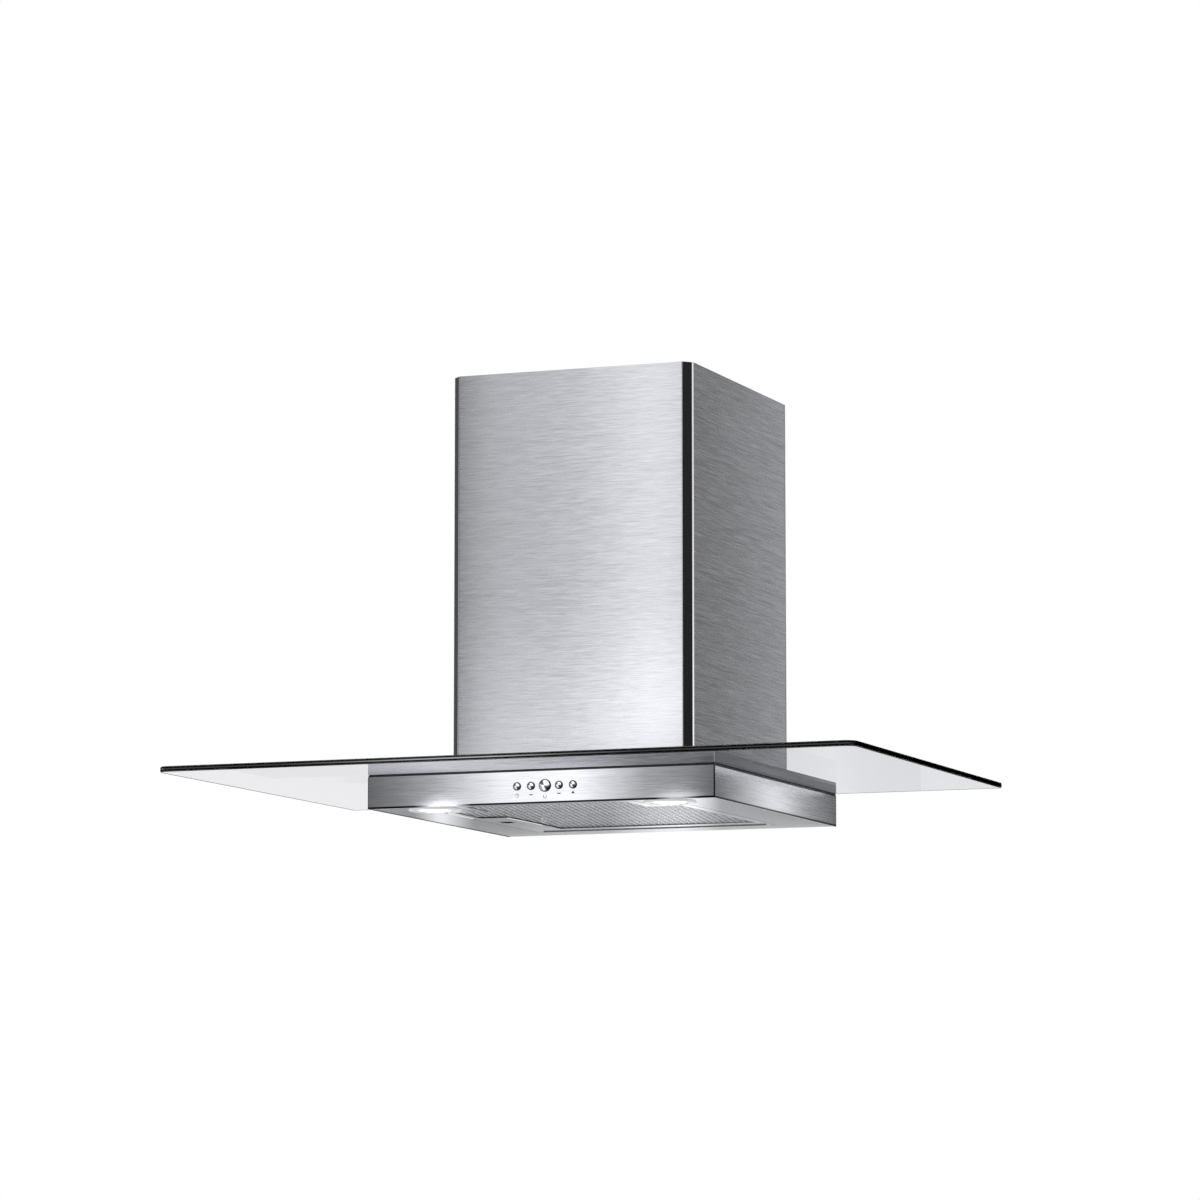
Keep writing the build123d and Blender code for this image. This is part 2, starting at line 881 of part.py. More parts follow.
def scroll_outline(grow):
    """The scroll about the fan's axis: arcs from four centres, opening into a straight outlet."""
    half = scroll_step / 2
    r = scroll_small_radius + grow
    right = scroll_right + grow
    left = tongue_x - grow
    start = degrees(acos((left + half) / r))
    tip = (left, half + r * sin(radians(start)))
    return make_face([
        CenterArc((-half, half), r, start, 90 - start),
        CenterArc((-half, -half), r + scroll_step, 90, 90),
        CenterArc((half, -half), r + 2 * scroll_step, 180, 90),
        CenterArc((half, half), r + 3 * scroll_step, 270, 90),
        Polyline((right, half), (right, outlet_rise), (left, outlet_rise), tip),
    ])


def volute_housing():
    shell = extrude(scroll_outline(scroll_wall), scroll_width)
    room = scroll_width - 2 * scroll_wall
    shell -= Pos(0, 0, scroll_wall) * extrude(scroll_outline(0), room)
    shell -= Pos(0, 0, scroll_wall / 2) * Cylinder(motor_hole_radius, scroll_wall + past)
    mouth = inlet_radius + inlet_wall + inlet_fit
    shell -= Pos(0, 0, scroll_width - scroll_wall / 2) * Cylinder(mouth, scroll_wall + past)
    y0, y1 = outlet_rise - past, outlet_rise + past
    shell -= block(tongue_x, scroll_right, y0, y1, scroll_wall, scroll_width - scroll_wall)
    return fan_frame * shell


def inlet_ring():
    """A bell mouth whose tube reaches in towards the impeller."""
    tube = inlet_radius + inlet_wall
    face = scroll_width
    inner_end = face - inlet_reach
    rim = inlet_radius + inlet_flange
    return fan_frame * turned([
        (inlet_radius, inner_end),
        (tube, inner_end),
        (tube, face),
        (rim, face),
        (rim, face + inlet_sheet),
        (inlet_radius + inlet_sheet, face + inlet_sheet),
        (inlet_radius, face),
    ])


def blade():
    """One forward curved blade between the plate and the ring."""
    outer = impeller_radius
    inner = outer - blade_depth
    mid = outer - blade_depth / 2
    t = blade_sheet
    bulge = blade_lean / 4
    section = make_face([
        ThreePointArc((inner, 0), (mid, bulge), (outer, blade_lean)),
        Line((outer, blade_lean), (outer, blade_lean + t)),
        ThreePointArc((outer, blade_lean + t), (mid, bulge + t), (inner, t)),
        Line((inner, t), (inner, 0)),
    ])
    foot = impeller_plate_at + impeller_plate / 2
    return Pos(0, 0, foot) * extrude(section, blade_front + impeller_ring / 2 - foot)


def impeller():
    plate_mid = impeller_plate_at + impeller_plate / 2
    reach = (impeller_radius ** 2 + (blade_lean + blade_sheet) ** 2) ** 0.5
    drum = Pos(0, 0, plate_mid) * Cylinder(reach, impeller_plate)
    hub_mid = (impeller_hub_front + impeller_hub_rear) / 2
    hub_length = impeller_hub_front - impeller_hub_rear
    drum += Pos(0, 0, hub_mid) * Cylinder(impeller_hub_radius, hub_length)
    eye = impeller_radius - blade_depth + blade_sheet
    ring = Cylinder(reach, impeller_ring) - Cylinder(eye, impeller_ring)
    drum += Pos(0, 0, blade_front + impeller_ring / 2) * ring
    one = blade()
    drum += [Rot(0, 0, i * 360 / blade_count) * one for i in range(blade_count)]
    drum -= Pos(0, 0, hub_mid) * Cylinder(shaft_radius, hub_length + 2 * past)
    return fan_frame * drum


def motor_shaft():
    z0, z1 = -shaft_rear, impeller_hub_front
    return fan_frame * Pos(0, 0, (z0 + z1) / 2) * Cylinder(shaft_radius, z1 - z0)


def motor_mount():
    ring = Cylinder(motor_flange_radius, motor_mount_sheet)
    ring -= Cylinder(motor_hole_radius, motor_mount_sheet)
    return fan_frame * Pos(0, 0, -motor_mount_sheet / 2) * ring


def motor():
    flange_front = -motor_mount_sheet
    flange_back = flange_front - motor_flange_sheet
    back = flange_back - motor_length
    can = turned([
        (0, motor_nose_front),
        (motor_nose_radius, motor_nose_front),
        (motor_nose_radius, flange_front),
        (motor_flange_radius, flange_front),
        (motor_flange_radius, flange_back),
        (motor_radius, flange_back),
        (motor_radius, back),
        (0, back),
    ])
    rear_edge = can.edges().filter_by(GeomType.CIRCLE).group_by(Axis.Z)[0]
    can = fillet(rear_edge, motor_round)
    bore_end = -shaft_rear - shaft_end_gap
    depth = motor_nose_front + past - bore_end
    can -= Pos(0, 0, bore_end + depth / 2) * Cylinder(shaft_radius + shaft_fit, depth)
    return fan_frame * can


def capacitor():
    z = deck_top + capacitor_above_deck
    can = level_rod(capacitor_x, z, box_back - capacitor_length, box_back, capacitor_radius)
    front = can.edges().filter_by(GeomType.CIRCLE).group_by(Axis.Y)[0]
    return fillet(front, capacitor_radius / 8)


# Outlet, damper and electrical pieces


def outlet_duct():
    """A transition from the scroll's outlet to the round opening in the box."""
    z0 = fan_level + outlet_rise
    z1 = box_top - box_sheet
    x0 = fan_x + tongue_x - scroll_wall
    x1 = fan_x + scroll_right + scroll_wall
    y1 = -scroll_rear
    y0 = y1 - scroll_width

    def taper(wall):
        radius = duct_radius - duct_wall - wall
        low = Pos(0, 0, z0) * plan(x0 + wall, x1 - wall, y0 + wall, y1 - wall, outlet_corner - wall)
        top = Pos(0, -duct_y, z1) * RectangleRounded(2 * radius, 2 * radius, radius - outlet_top_flat)
        return loft([low.face(), top.face()], ruled=True)

    return taper(0) - taper(outlet_wall)


def outlet_collar():
    """A flange with a spigot for the duct, and a ledge inside for the flaps."""
    bore = duct_radius - duct_wall
    ledge = bore - ledge_width
    seat = flap_level - flap_sheet / 2 - flap_seat_gap
    top = box_top + collar_flange_sheet + spigot_height
    half = collar_flange / 2
    flange = plan(-half, half, -duct_y - half, -duct_y + half, collar_flange_radius)
    collar = upright(flange, box_top, box_top + collar_flange_sheet)
    collar += rod(0, -duct_y, box_top, top, duct_radius)
    collar -= rod(0, -duct_y, seat, top + past, bore)
    collar -= rod(0, -duct_y, box_top - past, seat + past, ledge)
    return collar - damper_pin()


def damper_pin():
    half = duct_radius - duct_wall / 2
    return cross_rod(-duct_y, flap_level, -half, half, pin_radius)


def damper_flap(side):
    """Half a disc that swings up about the pin; side is -1 in front and 1 behind."""
    radius = duct_radius - duct_wall - flap_gap
    low, high = flap_level - flap_sheet / 2, flap_level + flap_sheet / 2
    bore = pin_radius + pin_fit
    sleeve = bore + knuckle_wall
    disc = rod(0, -duct_y, low, high, radius)
    near, far = sorted((side * flap_axis_gap, side * (radius + past)))
    flap = disc & block(-radius - past, radius + past, -duct_y + near, -duct_y + far, low, high)
    pitch = knuckle_length + knuckle_gap
    for base in (-2, 1):
        x0 = base * knuckle_offset + (pitch if side > 0 else 0)
        x1 = x0 + knuckle_length
        flap += cross_rod(-duct_y, flap_level, x0, x1, sleeve)
        web0, web1 = sorted((0, side * (flap_axis_gap + past)))
        flap += block(x0, x1, -duct_y + web0, -duct_y + web1, low, high)
    return flap - cross_rod(-duct_y, flap_level, -radius, radius, bore)


def terminal_box():
    top = box_top - box_sheet
    x0, x1 = terminal_x - terminal_length / 2, terminal_x + terminal_length / 2
    y0, y1 = -terminal_y - terminal_depth / 2, -terminal_y + terminal_depth / 2
    case = block(x0, x1, y0, y1, top - terminal_height, top)
    case = fillet(case.edges().filter_by(Axis.Z), terminal_round)
    entry = gland_neck_radius + gland_fit
    return case - rod(terminal_x, -terminal_y, top - terminal_height / 2, top + past, entry)


def cable_gland():
    neck_end = box_top - box_sheet - terminal_height / 4
    hexagon = Pos(terminal_x, -terminal_y) * RegularPolygon(gland_radius, 6)
    nut = upright(hexagon, box_top, box_top + gland_height)
    nut = chamfer(nut.faces().sort_by(Axis.Z)[-1].edges(), gland_height / 8)
    nut += rod(terminal_x, -terminal_y, neck_end, box_top, gland_neck_radius)
    return nut - rod(terminal_x, -terminal_y, neck_end - past, box_top + gland_height + past, gland_bore)


def led_driver():
    x0, x1 = driver_x - driver_width / 2, driver_x + driver_width / 2
    y0, y1 = -driver_y - driver_length / 2, -driver_y + driver_length / 2
    case = block(x0, x1, y0, y1, panel_top, panel_top + driver_height)
    return fillet(case.edges().filter_by(Axis.Z), driver_round)


def pieces():
    """Every node's solid, by the node's name."""
    side_panel = right_side_panel()
    chimney_side = chimney_right_panel()
    trim = corner_trim_right()
    made = {
        "front_fascia": front_fascia(),
        "right_side_panel": side_panel,
        "left_side_panel": mirrored(side_panel),
        "body_frame": body_frame(),
        "bottom_panel": bottom_panel(),
        "glass_gasket": glass_gasket(),
        "glass_canopy": glass_canopy(),
        "top_deck": top_deck(),
        "deck_spacers": deck_spacers(),
        "glass_bolts": glass_bolts(),
        "button_bezels": button_bezels(),
        "switch_housing": switch_housing(),
        "control_board": control_board(),
        "filter_frame": filter_frame(),
        "filter_mesh": filter_mesh(),
        "filter_latch": filter_latch(),
        "latch_spring": latch_spring(),
        "chimney_front_panel": chimney_front_panel(),
        "chimney_right_panel": chimney_side,
        "chimney_left_panel": mirrored(chimney_side),
        "corner_trim_right": trim,
        "corner_trim_left": mirrored(trim),
        "upper_chimney": upper_chimney(),
        "upper_bracket": upper_bracket(),
        "bracket_screws": bracket_screws(),
        "wall_plate": wall_plate(),
        "blower_box": blower_box(),
        "volute_housing": volute_housing(),
        "inlet_ring": inlet_ring(),
        "impeller": impeller(),
        "motor_shaft": motor_shaft(),
        "motor_mount": motor_mount(),
        "motor": motor(),
        "capacitor": capacitor(),
        "outlet_duct": outlet_duct(),
        "outlet_collar": outlet_collar(),
        "damper_pin": damper_pin(),
        "damper_flap_front": damper_flap(-1),
        "damper_flap_back": damper_flap(1),
        "terminal_box": terminal_box(),
        "cable_gland": cable_gland(),
        "led_driver": led_driver(),
    }
    names = ("light_button", "slow_button", "power_button", "medium_button", "fast_button")
    for name, (x, radius) in zip(names, button_places()):
        made[name] = button(x, radius)
    for word, side in (("left", -1), ("right", 1)):
        made["lamp_bezel_" + word] = lamp_bezel(side)
        made["lamp_lens_" + word] = lamp_lens(side)
        made["lamp_housing_" + word] = lamp_housing(side)
    return made


os.makedirs("parts", exist_ok=True)
for node, solid in pieces().items():
    export_step(solid, "parts/" + node + ".step")
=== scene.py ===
import json
import math

import bmesh
import bpy
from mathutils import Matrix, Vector


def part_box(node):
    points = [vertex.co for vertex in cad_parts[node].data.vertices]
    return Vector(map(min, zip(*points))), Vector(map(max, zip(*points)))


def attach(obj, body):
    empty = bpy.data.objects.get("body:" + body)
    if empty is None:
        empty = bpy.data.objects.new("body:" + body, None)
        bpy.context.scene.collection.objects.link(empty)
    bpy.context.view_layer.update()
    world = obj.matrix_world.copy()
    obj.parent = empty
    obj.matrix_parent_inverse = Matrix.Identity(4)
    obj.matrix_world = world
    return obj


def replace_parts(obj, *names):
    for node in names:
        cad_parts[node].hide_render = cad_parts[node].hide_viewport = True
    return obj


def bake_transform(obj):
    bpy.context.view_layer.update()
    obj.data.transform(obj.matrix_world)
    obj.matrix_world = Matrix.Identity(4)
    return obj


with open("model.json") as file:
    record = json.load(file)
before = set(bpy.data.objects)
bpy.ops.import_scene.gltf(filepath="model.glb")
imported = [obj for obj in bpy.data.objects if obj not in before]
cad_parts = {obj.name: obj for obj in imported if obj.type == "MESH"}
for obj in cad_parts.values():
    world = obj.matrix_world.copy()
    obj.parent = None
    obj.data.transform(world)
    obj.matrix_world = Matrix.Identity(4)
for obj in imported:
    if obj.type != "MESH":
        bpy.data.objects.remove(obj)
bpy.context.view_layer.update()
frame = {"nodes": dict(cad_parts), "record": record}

nodes = frame["nodes"]

MM = 0.001
BUTTONS = ["light_button", "slow_button", "power_button", "medium_button", "fast_button"]

# The steel's faint blue and the depth of the relief in the finishes.
COOL = -0.035
RELIEF = 0.2 * MM

# Brush marks per metre along X, Y and Z, fine and then coarse, on upright sheets and on level ones.
UPRIGHT_MARKS = ((50, 24, 1250), (20, 9, 640))
LEVEL_MARKS = ((50, 1100, 50), (20, 560, 20))

# The glass's index, and its tint at its left end and at its right end; the right end's darker tint is
# painted shade.
GLASS_IOR = 1.5
GLASS_SHADED_TINTS = ((0.915, 0.915, 0.928, 1), (0.862, 0.865, 0.882, 1))

# The filter: half the width and the end of the pack's neck between the lamps, the latch pad, the mesh.
NECK_HALF = 98.3 * MM
NECK_BACK = -315.8 * MM
PAD_SIDE = -97 * MM
PAD_FRONT = -236 * MM
PAD_BACK = -80 * MM
MESH_PITCH = 3.42 * MM

# Where the lamps' glare lies along the fascia's foot.
FLARES = {"left": -108 * MM, "right": 152 * MM}


class Value:
    """A socket of a node tree. Arithmetic on it adds Math nodes, and node() adds any other node."""

    def __init__(self, tree, socket=None):
        self.tree = tree
        self.socket = socket

    def node(self, kind, settings=None, inputs=None, output=0):
        made = self.tree.nodes.new(kind)
        for name, setting in (settings or {}).items():
            if name == "stops":
                ramp = made.color_ramp
                while len(ramp.elements) < len(setting):
                    ramp.elements.new(0.5)
                for element, (place, colour) in zip(ramp.elements, setting):
                    element.position = place
                    element.color = (*colour, 1.0)
            else:
                setattr(made, name, setting)
        for name, value in (inputs or {}).items():
            if isinstance(value, Value):
                self.tree.links.new(value.socket, made.inputs[name])
            else:
                made.inputs[name].default_value = value
        return Value(self.tree, made.outputs[output])

    def math(self, operation, first, second=0.0, clamp=False):
        settings = {"operation": operation, "use_clamp": clamp}
        return self.node("ShaderNodeMath", settings, {0: first, 1: second})

    def __add__(self, other):
        return self.math("ADD", self, other)

    __radd__ = __add__

    def __sub__(self, other):
        return self.math("SUBTRACT", self, other)

    def __rsub__(self, other):
        return self.math("SUBTRACT", other, self)

    def __mul__(self, other):
        return self.math("MULTIPLY", self, other)

    __rmul__ = __mul__

    def __truediv__(self, other):
        return self.math("DIVIDE", self, other)

    def __abs__(self):
        return self.math("ABSOLUTE", self)

    def clamped(self):
        return self.math("MULTIPLY", self, 1.0, clamp=True)

    def power(self, exponent):
        return self.math("POWER", self, exponent)

    def ramp(self, low, high):
        """0 below low, 1 above high, straight between."""
        return ((self - low) * (1.0 / (high - low))).clamped()

    def curve(self, stops):
        """A grey that follows (place, level) stops along 0 to 1, straight between them."""
        greys = [(place, (level, level, level)) for place, level in stops]
        return self.node("ShaderNodeValToRGB", {"stops": greys}, {0: self})

    def either(self, other):
        """The larger of two values."""
        return self.math("MAXIMUM", self, other)

    def mix(self, first, second):
        """A colour between two, by this value."""
        return self.node("ShaderNodeMix", {"data_type": "RGBA"}, {0: self, 6: first, 7: second}, 2)

    def parts(self):
        """The three numbers of a vector."""
        split = self.node("ShaderNodeSeparateXYZ", {}, {0: self}).socket.node
        return [Value(self.tree, out) for out in split.outputs]

    def stretched(self, x, y, z):
        """A vector, each of its numbers times its own factor."""
        return self.node("ShaderNodeVectorMath", {"operation": "MULTIPLY"}, {0: self, 1: (x, y, z)})

    def noise(self, scale=1.0, detail=2.0, roughness=0.5):
        inputs = {"Vector": self, "Scale": scale, "Detail": detail, "Roughness": roughness}
        return self.node("ShaderNodeTexNoise", {}, inputs)

    def cells(self, scale, output=0):
        return self.node("ShaderNodeTexVoronoi", {}, {"Vector": self, "Scale": scale}, output)

    def bump(self, strength, distance=RELIEF):
        inputs = {"Height": self, "Strength": strength, "Distance": distance}
        return self.node("ShaderNodeBump", {}, inputs)


def grey(level, warmth=0.0):
    """A grey with a little red and green added and blue taken away."""
    return (level * (1 + warmth), level * (1 + 0.7 * warmth), level * (1 - warmth), 1.0)


class Finish:
    """A material with one Principled shader."""

    def __init__(self, name):
        self.material = bpy.data.materials.new(name)
        self.material.use_nodes = True
        self.tree = self.material.node_tree
        self.shader = self.tree.nodes["Principled BSDF"]
        self.start = Value(self.tree)

    def at(self):
        """The place on the object, in metres in the shared frame."""
        return self.start.node("ShaderNodeTexCoord", output=3)

    def facing(self):
        """The way the surface faces, in the shared frame."""
        return self.start.node("ShaderNodeTexCoord", output=1)

    def blend(self, factor, other):
        """Mix the Principled shader with another one before the output."""
        first = Value(self.tree, self.shader.outputs[0])
        both = self.start.node("ShaderNodeMixShader", {}, {0: factor, 1: first, 2: other})
        self.tree.links.new(both.socket, self.tree.nodes["Material Output"].inputs["Surface"])
        return self

    def set(self, **sockets):
        for word, value in sockets.items():
            name = word.replace("_", " ").title().replace("Ior", "IOR")
            if isinstance(value, Value):
                self.tree.links.new(value.socket, self.shader.inputs[name])
            else:
                self.shader.inputs[name].default_value = value
        return self


def brushed_steel(name, dark, light, rough=(0.2, 0.3), flat=False, grain=1.0, painted_shade=None):
    """Stainless steel with short brush marks that run level, or along X on a level sheet, with painted
    shade where a mask for it is given.
    """
    finish = Finish(name)
    at = finish.at()
    fine, coarse = LEVEL_MARKS if flat else UPRIGHT_MARKS
    hair = at.stretched(*fine).noise(roughness=0.6)
    band = at.stretched(*coarse).noise()
    cloud = at.noise(scale=5.0, detail=1.0)
    both = hair.ramp(0.34, 0.66) * 0.65 + band.ramp(0.32, 0.68) * 0.35
    marks = both * grain + 0.5 * (1 - grain)
    colour = (marks * 0.9 + cloud * 0.1).mix(grey(dark, COOL), grey(light, COOL))
    # Painted shade: near black wherever the mask is set.
    if painted_shade:
        colour = painted_shade(finish).mix(colour, grey(0.012))
    roughness = marks * (rough[1] - rough[0]) + rough[0]
    height = hair * 0.7 + band * 0.3
    return finish.set(
        base_color=colour, metallic=1.0, roughness=roughness, normal=height.bump(0.06 * grain),
    )


def not_below(finish):
    """1 on a sheet's upright face, 0 where its fold has turned to face down."""
    return 1 - (0 - finish.facing().parts()[2]).ramp(0.7, 0.9)


def fascia_painted_shade(finish):
    """Painted shade: dark lines along the fascia's foot and its two ends, where its folds and joints
    lie in shadow; the foot's line is lost in the lamps' glare.
    """
    x, _, z = finish.at().parts()
    low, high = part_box("front_fascia")
    foot_dark, foot_shade_fade = 1.9 * MM, 2.4 * MM
    end_dark, end_shade_fade = 0.6 * MM, 0.9 * MM
    foot = 1 - (z - low.z).ramp(foot_dark, foot_shade_fade)
    for hand, lost, clear, kept in (("left", 14, 32, 0.0), ("right", 6, 24, 0.3)):
        foot = foot * (abs(x - FLARES[hand]).ramp(lost * MM, clear * MM) * (1 - kept) + kept)
    end = (abs(x) - high.x).ramp(-end_shade_fade, -end_dark)
    return foot.either(end) * not_below(finish)


def side_painted_shade(finish):
    """Painted shade: dark lines along a side panel's foot, its top and its front end, where its folds
    and joints lie in shadow.
    """
    _, y, z = finish.at().parts()
    low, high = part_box("right_side_panel")
    foot_dark, foot_shade_fade = 1.8 * MM, 2.3 * MM
    top_dark, top_shade_fade = 0.6 * MM, 1.0 * MM
    end_dark, end_shade_fade = 0.5 * MM, 0.8 * MM
    foot = 1 - (z - low.z).ramp(foot_dark, foot_shade_fade)
    top = (z - high.z).ramp(-top_shade_fade, -top_dark)
    end = 1 - (y - low.y).ramp(end_dark, end_shade_fade)
    return foot.either(top).either(end) * not_below(finish)


def canopy_glass():
    """Clear sheet with a grey tint and painted shade darkening it to the right; its edges are painted
    near black as shade, with a pale painted highlight along the front edge's middle.
    """
    finish = Finish("canopy_glass")
    _, ahead, above = finish.facing().parts()
    sheet = abs(above).ramp(0.35, 0.9)
    low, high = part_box("glass_canopy")
    x, _, z = finish.at().parts()
    middle = (low.z + high.z) / 2
    # Painted highlight: a pale line along the middle of the front edge; painted shade: the rest of the
    # edges near black.
    line_pale, line_end = 0.3 * MM, 0.9 * MM
    line = (1 - abs(z - middle).ramp(line_pale, line_end)) * (0 - ahead).ramp(0.6, 0.9)
    shaded_rim = line.mix(grey(0.005), grey(0.3))
    tint = finish.at().noise(scale=7.0).mix((0.76, 0.76, 0.79, 1), (0.8, 0.8, 0.83, 1))
    finish.set(
        base_color=sheet.mix(shaded_rim, tint), metallic=1 - sheet, roughness=0.0, transmission_weight=1.0,
        ior=GLASS_IOR, specular_tint=grey(0.03),
    )
    # Painted shade: the clear sheet's tint darkens from its left end to its right.
    shaded_tints = []
    for colour in GLASS_SHADED_TINTS:
        inputs = {"Color": colour, "Roughness": 0.0, "IOR": GLASS_IOR}
        shaded_tints.append(finish.start.node("ShaderNodeBsdfRefraction", {}, inputs))
    inputs = {0: x.ramp(low.x, high.x), 1: shaded_tints[0], 2: shaded_tints[1]}
    calm = finish.start.node("ShaderNodeMixShader", {}, inputs)
    calm_share = 0.9
    return finish.blend(sheet * calm_share, calm)


def painted(name, colour, rough, gloss=0.5):
    """Paint, rubber or moulded plastic: a fine grain in its colour, gloss and relief."""
    finish = Finish(name)
    at = finish.at()
    grain = at.noise(scale=900.0, detail=3.0, roughness=0.6)
    broad = at.noise(scale=14.0)
    speck = 0.12
    low = tuple(c * (1 - speck) for c in colour) + (1.0,)
    high = tuple(min(1.0, c * (1 + speck)) for c in colour) + (1.0,)
    shade = grain * 0.5 + broad * 0.5
    return finish.set(
        base_color=shade.mix(low, high), roughness=grain * 0.14 + (rough - 0.07),
        specular_ior_level=gloss, normal=grain.bump(0.08),
    )


def plain_metal(name, dark, light, rough):
    """Bare or plated metal with soft clouds and a fine tooth."""
    finish = Finish(name)
    at = finish.at()
    cloud = at.noise(scale=220.0, detail=3.0, roughness=0.6)
    tooth = at.noise(scale=1500.0)
    return finish.set(
        base_color=cloud.mix(grey(dark), grey(light)), metallic=1.0,
        roughness=cloud * 0.1 + (rough - 0.05) + tooth * 0.04, normal=tooth.bump(0.06),
    )


def galvanised(name, dark, light):
    """Zinc coated sheet with its crystal spangle."""
    finish = Finish(name)
    at = finish.at()
    spangle = at.cells(scale=95.0, output=1).parts()[0]
    fine = at.noise(scale=400.0)
    shade = spangle * 0.7 + fine * 0.3
    return finish.set(
        base_color=shade.mix(grey(dark, -0.01), grey(light, -0.015)), metallic=1.0,
        roughness=spangle * 0.18 + 0.36, normal=fine.bump(0.05),
    )


def lamp_lens():
    """Frosted lens, brightest over its chip."""
    finish = Finish("lamp_lens")
    low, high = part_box("lamp_lens_left")
    x, y, _ = finish.at().parts()
    dx = abs(x) - abs((low.x + high.x) / 2)
    dy = y - (low.y + high.y) / 2
    away = (dx * dx + dy * dy).power(0.5) * (2 / (high.x - low.x))
    frost = finish.at().noise(scale=1200.0)
    glow = away.ramp(0.3, 1.1).mix((1, 1, 1, 1), (0.6, 0.62, 0.65, 1))
    colour = frost.mix((0.85, 0.86, 0.87, 1), (0.95, 0.95, 0.95, 1))
    return finish.set(
        base_color=colour, roughness=frost * 0.1 + 0.3, emission_color=glow, emission_strength=4.0,
    )


def spun_metal_painted_highlights():
    """Button caps turned on a lathe, with painted highlight and shade: two light and two dark wedges
    about each cap's middle stand in for the turned metal's reflections.
    """
    finish = Finish("button_metal")
    x, _, z = finish.at().parts()
    first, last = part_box(BUTTONS[0]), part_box(BUTTONS[-1])
    start = (first[0].x + first[1].x) / 2
    pitch = ((last[0].x + last[1].x) / 2 - start) / (len(BUTTONS) - 1)
    level = (first[0].z + first[1].z) / 2
    along = (x - start) / pitch + 0.5
    dx = (along.math("FRACT", along) - 0.5) * pitch
    dz = z - level
    turn = dz.math("ARCTAN2", dz, dx)
    highlight_wedge = turn.math("COSINE", turn * 2 - math.pi / 2) * 0.5 + 0.5
    away = (dx * dx + dz * dz).power(0.5)
    rings_per_metre = 9000
    rings = (away * rings_per_metre).noise(detail=1.0)
    # Painted highlight and shade: the wedges colour each cap from near black to near white.
    shade = highlight_wedge * 0.85 + rings * 0.15
    colour = shade.ramp(0.12, 0.5).mix(grey(0.06, COOL), grey(0.92, COOL))
    return finish.set(base_color=colour, metallic=1.0, roughness=rings * 0.1 + 0.2)


def filter_sheet():
    """Satin aluminium with painted shadow on the cut edges that face the front, less so at the pack's
    rear edge.
    """
    finish = Finish("filter_aluminium")
    at = finish.at()
    cloud = at.noise(scale=60.0, detail=3.0, roughness=0.6)
    tooth = at.noise(scale=1500.0)
    _, y, z = at.parts()
    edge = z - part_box("filter_frame")[0].z
    sheet, sheet_end = 1.2 * MM, 1.5 * MM
    shadow = (0 - finish.facing().parts()[1]).ramp(0.5, 0.8) * (1 - edge.ramp(sheet, sheet_end))
    rear = y.ramp(PAD_BACK - 10 * MM, PAD_BACK) * edge.ramp(-0.3 * MM, 0.0)
    shadow = shadow * (1 - rear * 0.5)
    metal = cloud.mix(grey(0.5, COOL), grey(0.64, COOL))
    return finish.set(
        base_color=shadow.mix(metal, grey(0.02)), metallic=1.0, roughness=cloud * 0.06 + 0.1,
        normal=tooth.bump(0.03),
    )


def mesh_foil_painted_glints():
    """Bright expanded foil with painted glints: a lattice of light and dark in its colour stands in for
    the foil's folds catching the light in some places and losing it in others.
    """
    finish = Finish("mesh_aluminium")
    at = finish.at()
    x, y, _ = at.parts()
    across = x * (math.pi / MESH_PITCH)
    along = y * (math.pi / (5 * MESH_PITCH))
    glint_lattice = across.math("SINE", across) * along.math("SINE", along) * 0.5 + 0.5
    glint_noise = at.stretched(640, 105, 640).noise(detail=1.0)
    glint = glint_lattice * 0.75 + glint_noise * 0.25
    # Painted highlight and shade: the glints colour the foil from dark grey to near white.
    light = glint.ramp(0.36, 0.64)
    tooth = at.noise(scale=1500.0)
    return finish.set(
        base_color=light.mix(grey(0.2, COOL), grey(0.97, COOL)), metallic=light * 0.65 + 0.35,
        roughness=glint * 0.12 + 0.16, specular_ior_level=0.2, normal=tooth.bump(0.05),
    )


def circuit_board():
    """Green solder mask with paler tracks."""
    finish = Finish("board_green")
    at = finish.at()
    track = at.stretched(260, 1, 420).cells(scale=1.0).ramp(0.1, 0.2)
    fleck = at.noise(scale=800.0)
    colour = track.mix((0.06, 0.25, 0.12, 1), (0.02, 0.11, 0.05, 1))
    relief = track.bump(0.2, RELIEF / 2)
    return finish.set(base_color=colour, roughness=fleck * 0.2 + 0.3, normal=relief)


underside_steel = brushed_steel("underside_steel", 0.5, 0.64, (0.1, 0.16), flat=True, grain=0.35)

